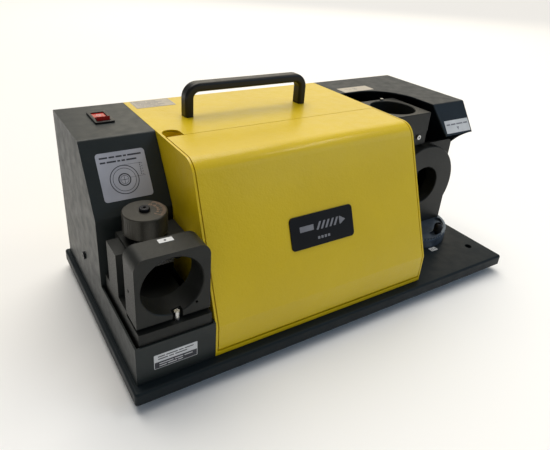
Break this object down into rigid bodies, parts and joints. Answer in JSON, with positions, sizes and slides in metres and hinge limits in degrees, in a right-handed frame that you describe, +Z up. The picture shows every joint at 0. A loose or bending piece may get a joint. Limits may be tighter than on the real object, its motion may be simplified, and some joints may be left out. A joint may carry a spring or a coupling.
{
  "type": "drill bit sharpener",
  "caption": "Bench drill bit sharpener with a yellow cover, a dial setting head, a swivelling point port, a top port and a conical grinding wheel on a motor shaft.",
  "frame": {"origin": "middle of the footprint at bench level, under the base plate", "axes": "+X along the base from the setting head to the swivelling port, +Y from the operator to the back, +Z up"},
  "size_m": [0.47, 0.245, 0.2255],
  "materials": {
    "dark_paint": "satin powder coat",
    "yellow_paint": "satin powder coat",
    "black_steel": "blackened, fine machined",
    "blue_grey_steel": "phosphated",
    "black_aluminium": "black anodised",
    "black_screw": "black oxide",
    "bright_steel": "bright ground",
    "black_plastic": "fine grained",
    "grey_plastic": "smooth",
    "red_plastic": "gloss",
    "foot_rubber": "matt",
    "black_plate": "black anodised, satin",
    "plated_brass": "nickel plated",
    "abrasive": "fine grit",
    "motor_casting": "painted, as cast",
    "laminations": "stacked sheet",
    "copper_wire": "enamelled copper wire"
  },
  "bodies": {
    "machine": {"base_plate": "dark_paint", "base_screws": "black_screw", "rubber_feet": "foot_rubber", "foot_screws": "bright_steel", "left_housing": "dark_paint", "housing_brackets": "bright_steel", "cover_screws": "black_screw", "switch_bezel": "black_plastic", "power_inlet": "black_plastic", "inlet_blades": "plated_brass", "inlet_screws": "black_screw", "cover_body": "yellow_paint", "hinge_pins": "bright_steel", "handle": "black_plastic", "handle_screws": "black_screw", "collet_tray": "dark_paint", "setting_base": "black_steel", "setting_block": "black_steel", "block_screws": "black_screw", "slide_bracket": "black_steel", "slide_cover": "black_steel", "bracket_screws": "black_screw", "motor_frame": "motor_casting", "motor_bolts": "black_screw", "end_bell_left": "motor_casting", "end_bell_right": "motor_casting", "motor_bearings": "bright_steel", "stator": "laminations", "windings": "copper_wire", "capacitor": "grey_plastic", "wheel_guard": "black_steel", "guard_side_cover": "black_steel", "guard_screws": "black_screw", "guard_front_screw": "bright_steel", "top_port_block": "black_steel", "port_screws": "black_screw", "index_pins": "bright_steel", "swivel_base": "blue_grey_steel", "swivel_pivot": "bright_steel", "clamp_screw": "black_screw", "right_housing": "dark_paint"},
    "rocker": {"switch_rocker": "red_plastic"},
    "dial": {"dial_spindle": "bright_steel", "dial_knob": "black_aluminium", "dial_screw": "black_screw"},
    "stop": {"stop_slide": "bright_steel", "stop_button": "bright_steel"},
    "door": {"front_door": "yellow_paint", "name_plate": "black_plate"},
    "seat": {"swivel_plate": "blue_grey_steel", "swivel_seat": "black_steel", "seat_screws": "black_screw"},
    "spindle": {"motor_shaft": "bright_steel", "rotor": "laminations", "motor_fan": "black_plastic", "wheel_flange": "bright_steel", "grinding_wheel": "abrasive", "wheel_nut": "bright_steel"}
  },
  "joints": [
    {"name": "switch_tilt", "type": "hinge", "parent": "machine", "child": "rocker", "pos_m": [-0.1938, 0.0735, 0.189], "axis": [1, 0, 0], "range_deg": [0, 20]},
    {"name": "dial_turn", "type": "hinge", "parent": "machine", "child": "dial", "pos_m": [-0.193, -0.0435, 0.13], "axis": [0, 0, -1], "range_deg": [0, 100]},
    {"name": "stop_travel", "type": "slide", "parent": "machine", "child": "stop", "axis": [0, -1, 0], "range_m": [0, 0.0132]},
    {"name": "door_open", "type": "hinge", "parent": "machine", "child": "door", "pos_m": [-0.029, -0.1105, 0.03], "axis": [1, 0, 0], "range_deg": [0, 90]},
    {"name": "seat_swivel", "type": "hinge", "parent": "machine", "child": "seat", "pos_m": [0.172, -0.0185, 0.034], "axis": [0, 0, 1], "range_deg": [-14, 11]},
    {"name": "wheel_spin", "type": "hinge", "parent": "machine", "child": "spindle", "pos_m": [0.154, 0.0535, 0.095], "axis": [1, 0, 0], "continuous": true}
  ],
  "couplings": [
    {"joint": "stop_travel", "follows": "dial_turn", "m_per_rad": 0.0075}
  ]
}
